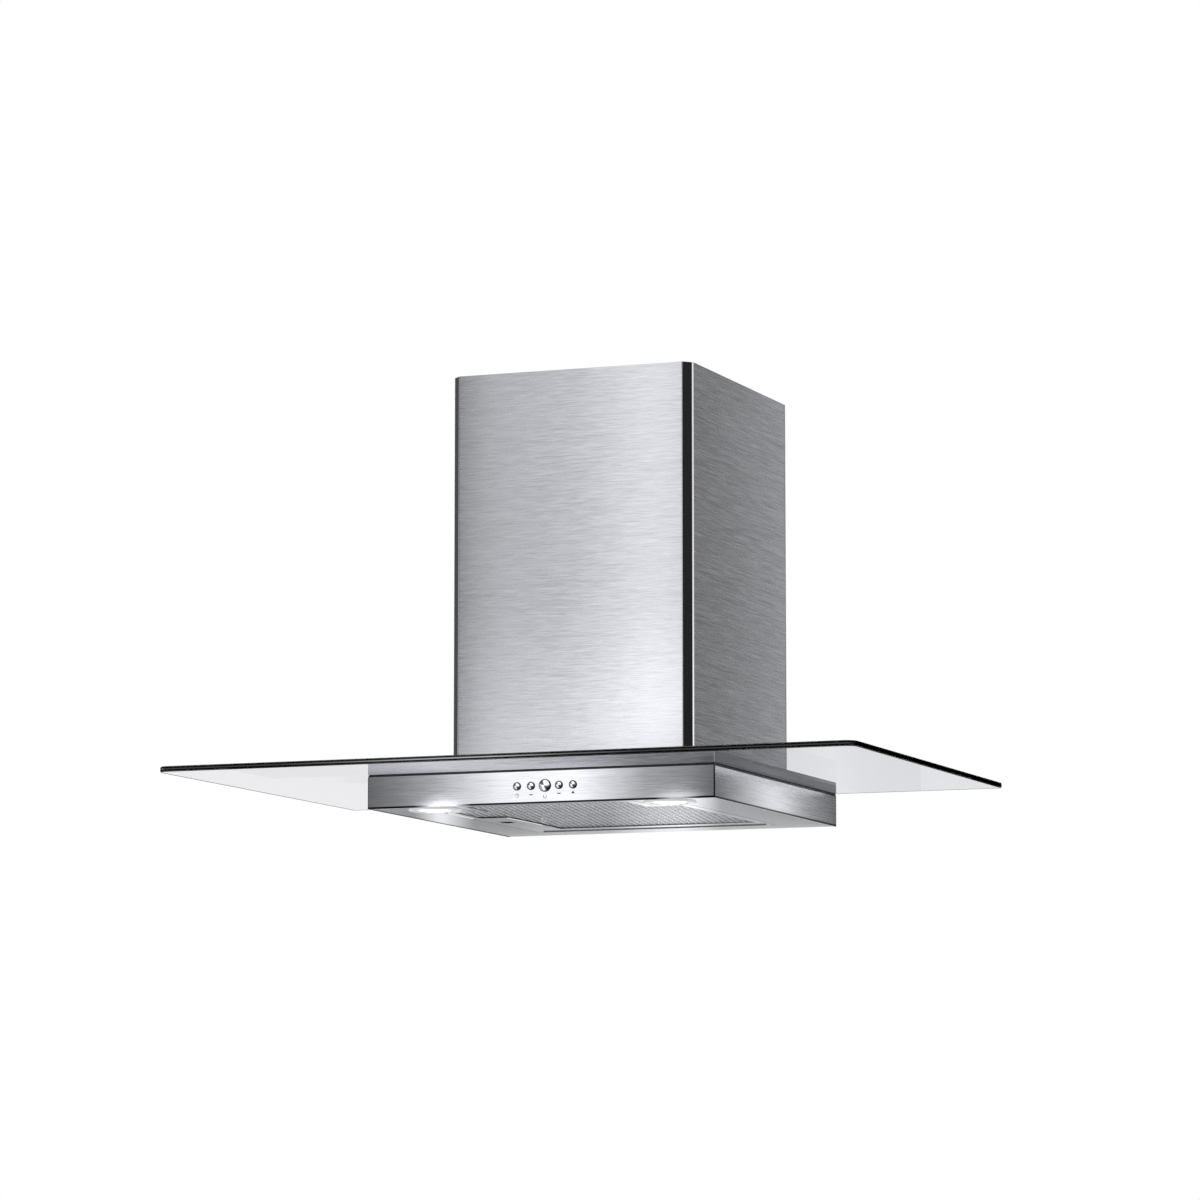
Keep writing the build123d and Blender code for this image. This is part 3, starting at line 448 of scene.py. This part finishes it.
finishes = {
    # The fascia's steel and the side panels' steel carry painted shade lines along their folds.
    "fascia_steel": brushed_steel("fascia_steel", 0.62, 0.8, (0.11, 0.17), painted_shade=fascia_painted_shade),
    "side_steel": brushed_steel("side_steel", 0.54, 0.8, painted_shade=side_painted_shade),
    "chimney_front_steel": brushed_steel("chimney_front_steel", 0.57, 0.84),
    "chimney_side_steel": brushed_steel("chimney_side_steel", 0.42, 0.86),
    "deck_steel": brushed_steel("deck_steel", 0.6, 0.76, (0.11, 0.17)),
    "underside_steel": underside_steel.set(specular_tint=grey(0.86)),
    "frame_steel": galvanised("frame_steel", 0.42, 0.6),
    "canopy_glass": canopy_glass(),
    "gasket_rubber": painted("gasket_rubber", (0.012, 0.012, 0.012), 0.6),
    "spacer_plastic": painted("spacer_plastic", (0.03, 0.03, 0.03), 0.5),
    "corner_black": painted("corner_black", (0.014, 0.014, 0.015), 0.4, gloss=0.12),
    "upper_steel": brushed_steel("upper_steel", 0.52, 0.74),
    "bracket_zinc": galvanised("bracket_zinc", 0.45, 0.64),
    "screw_zinc": plain_metal("screw_zinc", 0.55, 0.7, 0.3),
    "button_metal": spun_metal_painted_highlights(),
    # Painted shade: the bezels are near black, standing in for the shadow in the recess round each
    # button.
    "bezel_metal": plain_metal("bezel_metal", 0.015, 0.03, 0.25),
    "housing_plastic": painted("housing_plastic", (0.03, 0.03, 0.032), 0.5),
    "board_green": circuit_board(),
    "filter_aluminium": filter_sheet(),
    "mesh_aluminium": mesh_foil_painted_glints(),
    "latch_steel": plain_metal("latch_steel", 0.24, 0.34, 0.35),
    "lamp_trim": plain_metal("lamp_trim", 0.7, 0.82, 0.22),
    "lamp_lens": lamp_lens(),
    "lamp_body": plain_metal("lamp_body", 0.45, 0.6, 0.45),
    "fan_plastic": painted("fan_plastic", (0.035, 0.035, 0.038), 0.5),
    "flap_plastic": painted("flap_plastic", (0.07, 0.07, 0.072), 0.5),
    "shaft_steel": plain_metal("shaft_steel", 0.55, 0.68, 0.2),
    "mount_rubber": painted("mount_rubber", (0.02, 0.02, 0.02), 0.7),
    "motor_paint": painted("motor_paint", (0.14, 0.14, 0.15), 0.4),
    "capacitor_can": painted("capacitor_can", (0.7, 0.7, 0.67), 0.4),
    "gland_plastic": painted("gland_plastic", (0.045, 0.045, 0.045), 0.5),
    "mark_ink": painted("mark_ink", (0.06, 0.06, 0.06), 0.5),
    "edge_bead": plain_metal("edge_bead", 0.86, 0.95, 0.18),
}

for subpart in frame["record"]["subparts"]:
    mesh = nodes[subpart["node"]].data
    mesh.materials.clear()
    mesh.materials.append(finishes[subpart["material_slot"]].material)


def piece(name, mesh, finish, body=None):
    """A new piece of the object, in its finish, riding on a body if one is named."""
    made = bpy.data.objects.new(name, mesh)
    bpy.context.scene.collection.objects.link(made)
    mesh.materials.append(finishes[finish].material)
    if body:
        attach(made, body)
    return made


def shape(name, mesh, finish, body=None):
    """A piece from mesh code, its faces turned outwards."""
    bmesh.ops.recalc_face_normals(mesh, faces=mesh.faces)
    data = bpy.data.meshes.new(name)
    mesh.to_mesh(data)
    mesh.free()
    return piece(name, data, finish, body)


def strand(mesh, x, y0, y1, z, swing, step, width, thick, phase):
    """One zigzag strand of expanded metal, running from front to back."""
    count = max(1, round((y1 - y0) / step))
    ring = None
    for i in range(count + 1):
        sign = 1 if (i + phase) % 2 else -1
        y = y0 + (y1 - y0) * i / count
        middle = x + sign * swing
        corners = []
        for side, face in ((-1, -1), (1, -1), (1, 1), (-1, 1)):
            corners.append(mesh.verts.new((middle + side * width / 2, y, z + face * thick / 2)))
        if ring:
            for k in range(4):
                mesh.faces.new((ring[k], corners[k], corners[(k + 1) % 4], ring[(k + 1) % 4]))
        else:
            mesh.faces.new(corners)
        ring = corners
    mesh.faces.new(ring[::-1])


def strand_sheet(mesh, z, cell_x, cell_y, width, thick, pad):
    """Strands that meet at their peaks, shorter where the lamps and the pad cut the pack away."""
    low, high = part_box("filter_mesh")
    count = round((high.x - low.x) / cell_x)
    pitch = (high.x - low.x) / count
    swing = (pitch - width) / 2
    for i in range(count):
        x = low.x + (i + 0.5) * pitch
        front = NECK_BACK if abs(x) + pitch / 2 > NECK_HALF else low.y
        back = PAD_FRONT if pad and x - pitch / 2 < PAD_SIDE else high.y
        strand(mesh, x, front, back, z, swing, cell_y / 2, width, thick, i)


def filter_pack():
    """The filter's layers of expanded metal, in place of the plain pack."""
    low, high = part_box("filter_mesh")
    pack = bmesh.new()
    foil = 0.12 * MM
    # Each layer's height, its cells' width and length, its strands' width, and whether the pad cuts it.
    layers = (
        (low.z + foil, MESH_PITCH, 8 * MM, 1.9 * MM, True),
        (low.z + 2.4 * MM, MESH_PITCH, 9 * MM, 1.4 * MM, True),
        (high.z - 2 * foil, 5 * MM, 12 * MM, 1.7 * MM, False),
    )
    for height, cell_x, cell_y, width, pad in layers:
        strand_sheet(pack, height, cell_x, cell_y, width, foil, pad)
    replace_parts(shape("filter_strands", pack, "mesh_aluminium", "filter"), "filter_mesh")


def latch_leaf():
    """The latch's bent leaf spring, drawn bent in place of the plain spring part."""
    low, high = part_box("latch_spring")
    size = high - low
    middle = (low + high) / 2
    leaf = 1.1 * MM
    swing = (size.x - leaf) / 2
    mesh = bmesh.new()
    strand(mesh, middle.x, low.y, high.y, middle.z, swing, size.y / 2, leaf, size.z, 0)
    made = shape("latch_leaf", mesh, "latch_steel")
    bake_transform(made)
    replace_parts(made, "latch_spring")


def prism(mesh, outline, y0, y1):
    """A flat figure in X and Z, drawn through from y0 to y1."""
    near = [mesh.verts.new((x, y0, z)) for x, z in outline]
    far = [mesh.verts.new((x, y1, z)) for x, z in outline]
    mesh.faces.new(near)
    mesh.faces.new(far[::-1])
    for i in range(len(outline)):
        k = (i + 1) % len(outline)
        mesh.faces.new((near[k], near[i], far[i], far[k]))


def arc_band(x, z, radius, width, start, end, steps=20):
    """Outline of a bent bar round (x, z), from one angle to another in degrees."""
    turns = [math.radians(start + (end - start) * i / steps) for i in range(steps + 1)]
    sides = []
    for reach in (radius - width / 2, radius + width / 2):
        sides.append([(x + reach * math.cos(t), z + reach * math.sin(t)) for t in turns])
    inner, outer = sides
    return inner + outer[::-1]


def bar(x, z, width, height):
    """Outline of a level bar about (x, z)."""
    half, rise = width / 2, height / 2
    return [(x - half, z - rise), (x + half, z - rise), (x + half, z + rise), (x - half, z + rise)]


def button_marks():
    """A small plain sign under each button, printed on the fascia."""
    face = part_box("front_fascia")[0].y
    proud = 0.05 * MM
    drops = (9.8, 9.2, 11.3, 8.6, 8.1)
    bulb, bulb_rise, bulb_stroke = 1.5 * MM, 0.5 * MM, 0.6 * MM
    base, base_drop = 1.2 * MM, 1.9 * MM
    ring, ring_stroke = 1.7 * MM, 0.55 * MM
    foot_half, foot_drop, tip = 2 * MM, 1 * MM, 1.9 * MM
    dash, dash_stroke = 3.8 * MM, 1.1 * MM
    mesh = bmesh.new()
    for name, drop in zip(BUTTONS, drops):
        low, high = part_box(name)
        x = (low.x + high.x) / 2
        z = (low.z + high.z) / 2 - drop * MM
        if name == "light_button":
            figures = [
                arc_band(x, z + bulb_rise, bulb, bulb_stroke, -70, 190),
                bar(x, z - base_drop, base, bulb_stroke),
            ]
        elif name == "power_button":
            figures = [arc_band(x, z, ring, ring_stroke, -240, 60)]
        elif name == "fast_button":
            figures = [[(x - foot_half, z - foot_drop), (x + foot_half, z - foot_drop), (x, z + tip)]]
        else:
            figures = [bar(x, z, dash, dash_stroke)]
        for figure in figures:
            prism(mesh, figure, face - proud, face)
    shape("button_marks", mesh, "mark_ink", "hood")


def half_round(mesh, start, end, across, rise, steps=6):
    """A long half round bar from start to end, as wide as across and swelling out by rise."""
    rings = []
    for place in (start, end):
        ring = []
        for i in range(steps + 1):
            share = i / steps
            swell = rise * math.sin(math.pi * share)
            ring.append(mesh.verts.new(place + across * (share - 0.5) + swell))
        rings.append(ring)
    low, high = rings
    mesh.faces.new(low[::-1])
    mesh.faces.new(high)
    for i in range(steps + 1):
        k = (i + 1) % (steps + 1)
        mesh.faces.new((low[i], low[k], high[k], high[i]))


def corner_beads():
    """The bright folded edges of the chimney's panels, beside each black strip and at the wall."""
    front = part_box("chimney_front_panel")
    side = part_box("chimney_right_panel")
    foot, top = Vector((0, 0, front[0].z)), Vector((0, 0, front[1].z))
    front_wide, side_wide, rear_wide = 0.5 * MM, 1.8 * MM, 3 * MM
    rear_in, proud = 1.6 * MM, 0.3 * MM
    mesh = bmesh.new()
    for hand in (1, -1):
        a = Vector((hand * front[1].x, front[0].y, 0))
        b = Vector((hand * side[1].x, side[0].y, 0))
        step = (b - a).normalized()
        rise = Vector((hand * -step.y, hand * step.x, 0)) * -proud
        at_front = a + step * (front_wide / 2)
        half_round(mesh, at_front + foot, at_front + top, step * front_wide, rise)
        at_side = b - step * (side_wide / 2)
        half_round(mesh, at_side + foot, at_side + top, step * side_wide, rise)
        rear = Vector((hand * side[1].x, side[1].y - rear_in, 0))
        across = Vector((0, rear_wide, 0))
        half_round(mesh, rear + foot, rear + top, across, Vector((hand * proud, 0, 0)))
    shape("corner_beads", mesh, "edge_bead", "hood")


def filter_beads():
    """The bright folded edges along the filter's latch pad."""
    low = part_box("filter_frame")[0]
    across, rise = Vector((3.0 * MM, 0, 0)), Vector((0, 0, -0.5 * MM))
    # Each bead's place along X, and where it starts and ends along Y.
    beads = (
        (low.x + 1.6 * MM, PAD_FRONT - 70 * MM, PAD_FRONT),
        (PAD_SIDE - 1.2 * MM, PAD_FRONT + 2 * MM, PAD_BACK - 55 * MM),
    )
    mesh = bmesh.new()
    for x, start, end in beads:
        half_round(mesh, Vector((x, start, low.z)), Vector((x, end, low.z)), across, rise)
    shape("filter_beads", mesh, "edge_bead", "filter")


def filter_rib():
    """The pressed rib that stiffens the filter's rear border."""
    low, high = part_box("filter_frame")
    share, inset, wide, proud = 0.94, 4 * MM, 2 * MM, 1.0 * MM
    reach = Vector((low.x * share, 0, 0))
    middle = Vector((0, high.y - inset, low.z))
    across, rise = Vector((0, wide, 0)), Vector((0, 0, -proud))
    mesh = bmesh.new()
    half_round(mesh, middle + reach, middle - reach, across, rise)
    shape("filter_rib", mesh, "filter_aluminium", "filter")


filter_pack()
latch_leaf()
button_marks()
corner_beads()
filter_beads()
filter_rib()

# Camera, fitted to the photograph: place in metres, then its turn about Z and its tilt up.
camera_place = Vector((1.9323, -5.1367, -0.7782))
camera_turn = math.radians(21.424)
camera_tilt = math.radians(7.342)
camera_data = bpy.data.cameras.new("camera")
camera_data.lens = 150.0
camera_data.sensor_width = 36.0
camera_data.clip_end = 100.0
camera = bpy.data.objects.new("camera", camera_data)
camera.location = camera_place
ahead = Vector((
    -math.sin(camera_turn) * math.cos(camera_tilt),
    math.cos(camera_turn) * math.cos(camera_tilt),
    math.sin(camera_tilt),
))
camera.rotation_mode = "QUATERNION"
camera.rotation_quaternion = ahead.to_track_quat("-Z", "Y")
bpy.context.scene.collection.objects.link(camera)
bpy.context.scene.camera = camera
bpy.context.scene.view_settings.view_transform = "Standard"


# The planes of the reflecting cards, in metres, and the level of a card's full white.
FRONT_CARD = -0.56
SIDE_CARD = 0.3
LOW_CARD = 0.225
BACK_CARD = 0.3
EAVE_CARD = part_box("glass_canopy")[0].z - 0.3 * MM
CARD_LEVEL = 1.6

# The studio: the world's level for matt surfaces, and the floor's height and half its width, in metres.
AMBIENT = 0.55
FLOOR_LEVEL = -1.98
FLOOR_REACH = 9.0


def white_world():
    """White where the camera, the metal and the glass look, and a softer level for matt surfaces."""
    world = bpy.data.worlds.new("studio")
    world.use_nodes = True
    bpy.context.scene.world = world
    tree = world.node_tree
    start = Value(tree)
    seen = start.node("ShaderNodeLightPath", output=0)
    glossy = start.node("ShaderNodeLightPath", output=3)
    through = start.node("ShaderNodeLightPath", output=6)
    direct = (seen + glossy + through).clamped()
    strength = direct * (1 - AMBIENT) + AMBIENT
    tree.links.new(strength.socket, tree.nodes["Background"].inputs["Strength"])
    tree.nodes["Background"].inputs["Color"].default_value = (1, 1, 1, 1)


def soft_light(name, place, target, width, height, watts):
    """A square lamp that the camera doesn't see."""
    data = bpy.data.lights.new(name, "AREA")
    data.shape = "RECTANGLE"
    data.size = width
    data.size_y = height
    data.energy = watts
    made = bpy.data.objects.new(name, data)
    made.location = place
    made.rotation_mode = "QUATERNION"
    made.rotation_quaternion = (Vector(target) - Vector(place)).to_track_quat("-Z", "Y")
    made.visible_camera = False
    bpy.context.scene.collection.objects.link(made)


def mirrored(point, axis, plane, across=None):
    """Where the view, mirrored at a point of a face square to an axis, meets a plane across an axis."""
    across = axis if across is None else across
    way = Vector(point) - camera_place
    way[axis] = -way[axis]
    return Vector(point) + way * ((plane - point[across]) / way[across])


def on_front_card(node):
    """Where a front's lower left and upper right corners are mirrored on the front card."""
    low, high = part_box(node)
    a = mirrored((low.x, low.y, low.z), 1, FRONT_CARD)
    b = mirrored((high.x, low.y, high.z), 1, FRONT_CARD)
    return a, b


def along_side(node, plane, at):
    """0 to 1 along a right side's reflection on a card beside it, from its front to its back."""
    low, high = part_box(node)
    a = mirrored((high.x, low.y, low.z), 0, plane)
    b = mirrored((high.x, high.y, low.z), 0, plane)
    return at.parts()[1].ramp(a.y, b.y)


def stage_card(name, corners, level):
    """A card beside the object, for the metal to reflect; the camera doesn't see it."""
    data = bpy.data.meshes.new(name)
    data.from_pydata(corners, [], [(0, 1, 2, 3)])
    finish = Finish(name)
    finish.set(base_color=(0, 0, 0, 1), roughness=1.0, specular_ior_level=0.0)
    finish.set(emission_color=level(finish.at()), emission_strength=CARD_LEVEL)
    data.materials.append(finish.material)
    made = bpy.data.objects.new(name, data)
    made.visible_camera = False
    made.visible_shadow = False
    made.visible_diffuse = False
    made.visible_transmission = False
    bpy.context.scene.collection.objects.link(made)


def card_square_to_x(name, x, y, z, level):
    """A card at one X, between two places along Y and two along Z."""
    stage_card(name, [(x, y[0], z[0]), (x, y[1], z[0]), (x, y[1], z[1]), (x, y[0], z[1])], level)


def card_square_to_y(name, y, x, z, level):
    """A card at one Y, between two places along X and two along Z."""
    stage_card(name, [(x[0], y, z[0]), (x[1], y, z[0]), (x[1], y, z[1]), (x[0], y, z[1])], level)


def card_square_to_z(name, z, x, y, level):
    """A card at one Z, between two places along X and two along Y."""
    stage_card(name, [(x[0], y[0], z), (x[1], y[0], z), (x[1], y[1], z), (x[0], y[1], z)], level)


def fascia_spot(x):
    """The level of the fascia's light along X, as it stands on the front card."""
    a, b = on_front_card("front_fascia")
    return x.ramp(a.x, b.x).curve([
        (0, 0.11), (0.1, 0.2), (0.2, 0.33), (0.4, 0.81),
        (0.6, 0.91), (0.8, 0.31), (0.92, 0.22), (1, 0.11),
    ])


def eave_level(at):
    """The fascia's light again, under the glass, which hides the front card from the fascia's top."""
    x, y, _ = at.parts()
    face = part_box("front_fascia")[0]
    lean = camera_place.x / (face.y - camera_place.y)
    return fascia_spot(x - (y - FRONT_CARD) * lean)


def front_level(at):
    """Soft light for the front: a glow that grows to the right on the chimney, a spot on the fascia."""
    x, _, z = at.parts()
    chimney_foot, chimney_top = on_front_card("chimney_front_panel")
    deck_foot, deck_top = on_front_card("top_deck")
    fascia_top = on_front_card("front_fascia")[1]

    glow = x.ramp(chimney_foot.x, chimney_top.x).curve([
        (0, 0.08), (0.04, 0.38), (0.2, 0.41), (0.5, 0.42), (0.9, 0.73), (0.97, 0.75), (1, 0.5)
    ])
    bright_share = 0.4
    bright_end = chimney_foot.z + bright_share * (chimney_top.z - chimney_foot.z)
    foot = z.ramp(chimney_foot.z, bright_end).mix(grey(1.5), grey(1.0))
    settings = {"data_type": "RGBA", "blend_type": "MULTIPLY"}
    chimney = glow.node("ShaderNodeMix", settings, {0: 1.0, 6: glow, 7: foot}, 2)

    deck = x.ramp(deck_foot.x, deck_top.x).curve([
        (0, 0.66), (0.2, 0.71), (0.5, 0.34), (0.75, 0.09), (1, 0.06)
    ])

    spot = fascia_spot(x)
    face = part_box("front_fascia")[0]
    for hand, level, reach, rise in (("left", 2.3, 30, 5), ("right", 1.4, 32, 6)):
        flare = mirrored((FLARES[hand], face.y, face.z), 1, FRONT_CARD)
        away = ((x - flare.x) / (reach * MM)).power(2.0) + ((z - flare.z) / (rise * MM)).power(2.0)
        spot = away.ramp(0.0, 1.0).mix(grey(level), spot)

    lower = z.ramp(fascia_top.z + 5 * MM, deck_foot.z + 4 * MM).mix(spot, deck)
    return z.ramp(deck_top.z, chimney_foot.z).mix(lower, chimney)


def side_level(at):
    """Dim light for the chimney's side and the deck's, growing towards the wall."""
    return along_side("chimney_right_panel", SIDE_CARD, at).curve([(0, 0.13), (1, 0.26)])


def low_side_level(at):
    """A soft spot for the middle of the body's right side."""
    return along_side("right_side_panel", LOW_CARD, at).curve([
        (0, 0.1), (0.2, 0.32), (0.46, 0.76), (0.7, 0.3), (1, 0.07)
    ])


def under_level(at):
    """Light for the underside, dim for its left and its rear, with the two lamps' streaks."""
    x, _, z = at.parts()
    low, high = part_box("bottom_panel")
    front = mirrored((low.x, low.y, low.z), 2, BACK_CARD, 1)
    rear = mirrored((high.x, high.y, low.z), 2, BACK_CARD, 1)
    depth = z.ramp(front.z, rear.z)
    side = x.ramp(front.x, rear.x).curve([
        (0, 0.76), (0.33, 0.7), (0.42, 1.0), (0.56, 1.05), (0.8, 1.0), (1, 0.7)
    ])
    level = depth.curve([(0, 0.25), (0.38, 0.285), (0.72, 0.41), (0.88, 0.25), (1, 0.07)]) * side
    streak_shift, core = 16 * MM, 4 * MM
    # Each lamp's streak: its reach to the left and to the right, in millimetres, and its strength.
    streaks = (("lamp_lens_left", 34, 42, 0.87), ("lamp_lens_right", 85, 55, 1.3))
    for node, left, right, strength in streaks:
        a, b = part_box(node)
        streak = mirrored(((a.x + b.x) / 2 + streak_shift, a.y, low.z), 2, BACK_CARD, 1)
        to_left = (streak.x - x).ramp(core, left * MM)
        to_right = (x - streak.x).ramp(core, right * MM)
        glare = depth.curve([(0, 0.93), (0.4, 0.92), (0.75, 0.74), (1, 0.4)]) * strength
        level = to_left.either(to_right).mix(glare, level)
    return level.mix((0, 0, 0, 1), (0.96, 0.97, 1.0, 1))


def floor():
    """A pale floor, clear when it is seen from below."""
    near, far, level = -FLOOR_REACH, FLOOR_REACH, FLOOR_LEVEL
    corners = [(near, near, level), (far, near, level), (far, far, level), (near, far, level)]
    data = bpy.data.meshes.new("floor")
    data.from_pydata(corners, [], [(0, 1, 2, 3)])
    finish = Finish("floor")
    start = finish.start
    finish.set(base_color=(0.85, 0.85, 0.85, 1), roughness=0.9, specular_ior_level=0.0)
    matt = Value(finish.tree, finish.shader.outputs[0])
    white = start.node("ShaderNodeEmission", {}, {"Color": (1, 1, 1, 1), "Strength": 1.0})
    white_share = 0.7
    lit = start.node("ShaderNodeMixShader", {}, {0: white_share, 1: matt, 2: white})
    under = start.node("ShaderNodeNewGeometry", output=6)
    clear = start.node("ShaderNodeBsdfTransparent")
    both = start.node("ShaderNodeMixShader", {}, {0: under, 1: lit, 2: clear})
    output = finish.tree.nodes["Material Output"]
    finish.tree.links.new(both.socket, output.inputs["Surface"])
    data.materials.append(finish.material)
    made = bpy.data.objects.new("floor", data)
    bpy.context.scene.collection.objects.link(made)


white_world()
floor()
soft_light("key", place=(-1.6, -2.6, 1.6), target=(0, -0.2, -0.15), width=1.6, height=1.6, watts=6.0)
card_square_to_y("card_front", FRONT_CARD, x=(-0.8, 0.7), z=(-0.6, 0.8), level=front_level)
card_square_to_z("card_eave", EAVE_CARD, x=(-0.3, 0.25), y=(-0.5, -0.386), level=eave_level)
card_square_to_x("card_side", SIDE_CARD, y=(-0.2, 0.8), z=(-0.283, 0.7), level=side_level)
card_square_to_x("card_low", LOW_CARD, y=(-0.36, 0.2), z=(-0.38, -0.28), level=low_side_level)
card_square_to_y("card_under", BACK_CARD, x=(-0.53, 0.6), z=(-0.42, -0.355), level=under_level)
